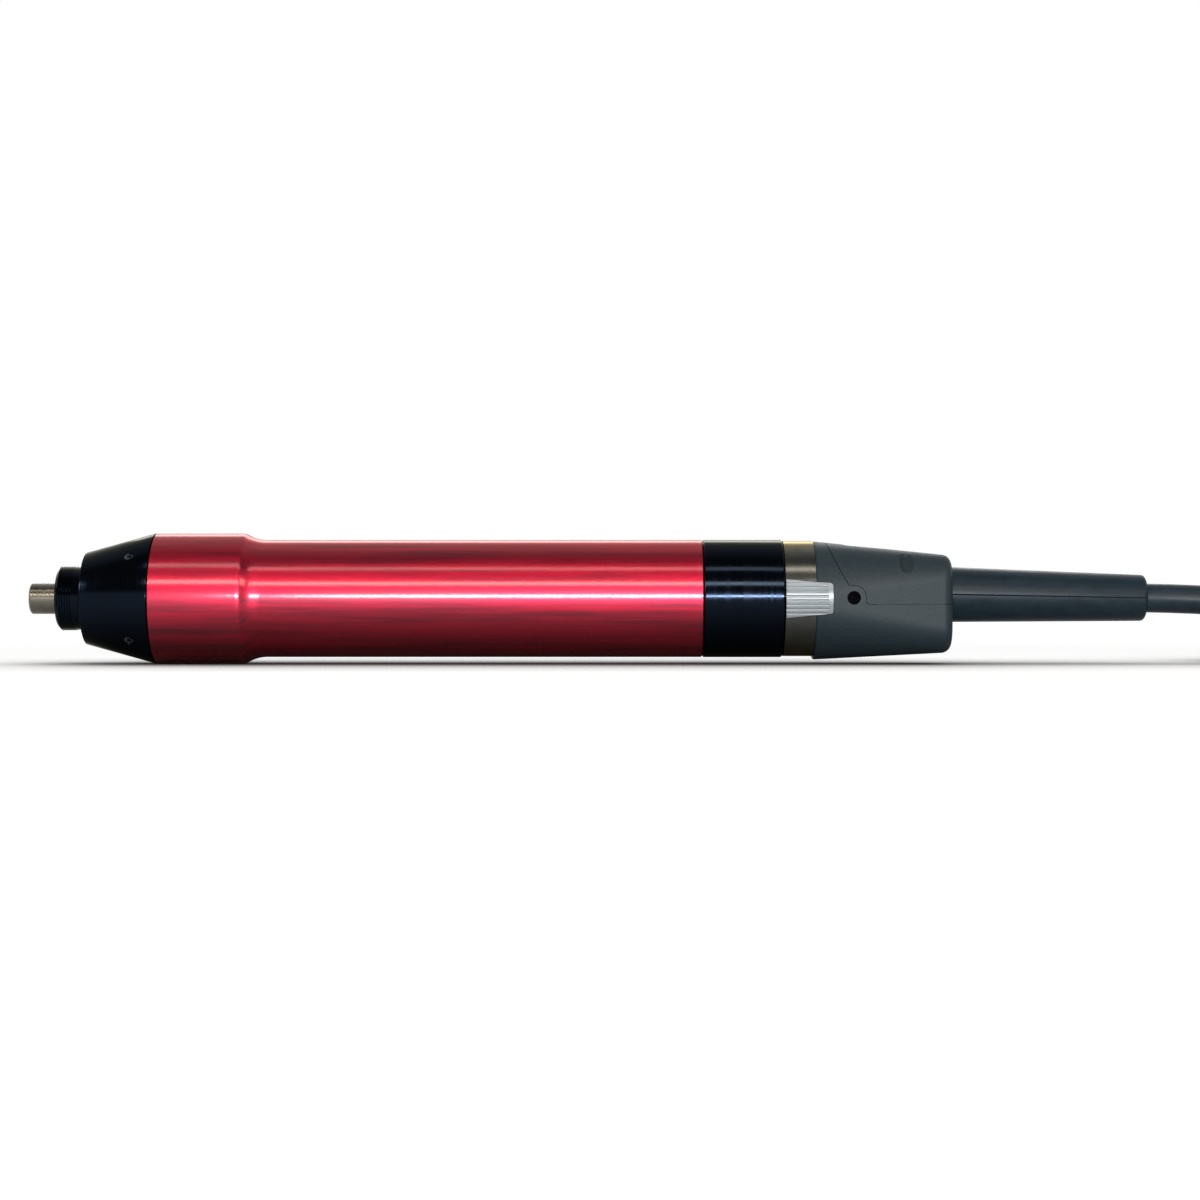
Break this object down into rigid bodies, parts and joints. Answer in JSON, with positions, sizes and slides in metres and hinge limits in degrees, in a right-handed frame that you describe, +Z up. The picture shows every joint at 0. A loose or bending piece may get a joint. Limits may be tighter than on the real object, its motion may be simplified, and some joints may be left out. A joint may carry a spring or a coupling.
{
  "type": "electric screwdriver",
  "caption": "Inline cable-fed electric screwdriver with a red grip tube, black threaded nose cone, push-to-start hex spindle, side status lights, reverse button and rubber strain relief.",
  "frame": {"origin": "on the floor under the middle of the tool's length, spindle tip to strain relief end", "axes": "+X along the tool's axis from the spindle towards the cord, +Z up, -Y towards the picture's camera"},
  "size_m": [0.5959, 0.1036, 0.0408],
  "materials": {
    "black_anodised": "satin black anodised, fine turned lines",
    "red_tube": "satin red anodised",
    "tool_steel": "ground",
    "steel": "plain",
    "bronze": "plain bearing bronze",
    "magnet": "nickel plated",
    "aluminium": "turned",
    "core_steel": "stacked sheet",
    "copper": "enamelled wire",
    "board": "green solder resist",
    "components": "moulded",
    "seal": "plain",
    "light_ring": "brushed",
    "lens": "clear ribbed plastic",
    "frame": "moulded",
    "housing": "fine mould texture, dark grey",
    "boot": "soft satin",
    "cord": "satin sheath",
    "tie": "woven hook-and-loop band",
    "plug_rubber": "plain",
    "plug_metal": "nickel plated",
    "insert": "moulded insulator"
  },
  "bodies": {
    "housing": {"nose_cone": "black_anodised", "rear_collar": "black_anodised", "body_tube": "red_tube", "set_screws": "steel", "ring_gear": "steel", "output_bearing_outer": "steel", "torque_sensor": "steel", "motor_front_bearing_outer": "steel", "motor_rear_bearing_outer": "steel", "shell_screws": "steel", "clamp_screws": "steel", "nose_bush": "bronze", "gear_case": "aluminium", "motor_front_flange": "aluminium", "motor_rear_flange": "aluminium", "stator_core": "core_steel", "stator_windings": "copper", "sensor_board": "board", "drive_board": "board", "light_boards": "board", "switch_board": "board", "drive_components": "components", "collar_seal": "seal", "light_ring": "light_ring", "light_lens_near": "lens", "light_lens_far": "lens", "rear_frame": "frame", "cable_clamp": "frame", "lower_shell": "housing", "upper_cover": "housing", "strain_relief": "boot", "cord_inner": "cord", "cord_lead": "cord", "cord_hank": "cord", "hank_tie": "tie", "plug_gland": "plug_rubber", "plug_shell": "plug_metal", "plug_insert": "insert"},
    "output": {"output_carrier": "steel", "output_pins": "steel", "output_bearing_inner": "steel", "start_spring": "steel"},
    "spindle": {"spindle": "tool_steel", "bit_magnet": "magnet"},
    "first_stage": {"first_carrier": "steel", "first_pins": "steel"},
    "rotor": {"rotor_shaft": "steel", "rotor_magnets": "magnet", "motor_front_bearing_inner": "steel", "motor_rear_bearing_inner": "steel", "sensor_magnet": "magnet"},
    "reverse_button": {"reverse_button": "housing"},
    "coupling_nut": {"coupling_nut": "plug_metal"},
    "output_planet_1": {"output_planet_1": "steel"},
    "first_planet_1": {"first_planet_1": "steel"},
    "output_planet_2": {"output_planet_2": "steel"},
    "first_planet_2": {"first_planet_2": "steel"},
    "output_planet_3": {"output_planet_3": "steel"},
    "first_planet_3": {"first_planet_3": "steel"}
  },
  "joints": [
    {"name": "first_carrier_spin", "type": "hinge", "parent": "housing", "child": "first_stage", "pos_m": [0, 0, 0.0204], "axis": [1, 0, 0], "continuous": true},
    {"name": "rotor_spin", "type": "hinge", "parent": "housing", "child": "rotor", "pos_m": [0, 0, 0.0204], "axis": [1, 0, 0], "continuous": true},
    {"name": "output_spin", "type": "hinge", "parent": "housing", "child": "output", "pos_m": [0, 0, 0.0204], "axis": [1, 0, 0], "continuous": true},
    {"name": "output_planet_1_spin", "type": "hinge", "parent": "output", "child": "output_planet_1", "pos_m": [0, 0.009, 0.0204], "axis": [1, 0, 0], "continuous": true},
    {"name": "output_planet_2_spin", "type": "hinge", "parent": "output", "child": "output_planet_2", "pos_m": [0, -0.0045, 0.02819], "axis": [1, 0, 0], "continuous": true},
    {"name": "output_planet_3_spin", "type": "hinge", "parent": "output", "child": "output_planet_3", "pos_m": [0, -0.0045, 0.0126], "axis": [1, 0, 0], "continuous": true},
    {"name": "first_planet_1_spin", "type": "hinge", "parent": "first_stage", "child": "first_planet_1", "pos_m": [0, 0.009, 0.0204], "axis": [1, 0, 0], "continuous": true},
    {"name": "first_planet_2_spin", "type": "hinge", "parent": "first_stage", "child": "first_planet_2", "pos_m": [0, -0.0045, 0.02819], "axis": [1, 0, 0], "continuous": true},
    {"name": "first_planet_3_spin", "type": "hinge", "parent": "first_stage", "child": "first_planet_3", "pos_m": [0, -0.0045, 0.0126], "axis": [1, 0, 0], "continuous": true},
    {"name": "spindle_push", "type": "slide", "parent": "output", "child": "spindle", "axis": [1, 0, 0], "range_m": [0, 0.003], "stiffness_N_per_m": 2000, "springref_m": -0.004, "deforming": ["start_spring"]},
    {"name": "reverse_button_press", "type": "slide", "parent": "housing", "child": "reverse_button", "axis": [-0.1072, 0, -0.9942], "range_m": [0, 0.0008], "stiffness_N_per_m": 800, "springref_m": -0.0008},
    {"name": "coupling_nut_turn", "type": "hinge", "parent": "housing", "child": "coupling_nut", "pos_m": [0.3778, -0.0198, 0.0095], "axis": [1, 0, 0], "continuous": true}
  ],
  "couplings": [
    {"joint": "rotor_spin", "follows": "first_carrier_spin", "ratio": 4},
    {"joint": "output_spin", "follows": "first_carrier_spin", "ratio": 0.25},
    {"joint": "output_planet_1_spin", "follows": "first_carrier_spin", "ratio": -0.75},
    {"joint": "output_planet_2_spin", "follows": "first_carrier_spin", "ratio": -0.75},
    {"joint": "output_planet_3_spin", "follows": "first_carrier_spin", "ratio": -0.75},
    {"joint": "first_planet_1_spin", "follows": "first_carrier_spin", "ratio": -3},
    {"joint": "first_planet_2_spin", "follows": "first_carrier_spin", "ratio": -3},
    {"joint": "first_planet_3_spin", "follows": "first_carrier_spin", "ratio": -3}
  ]
}
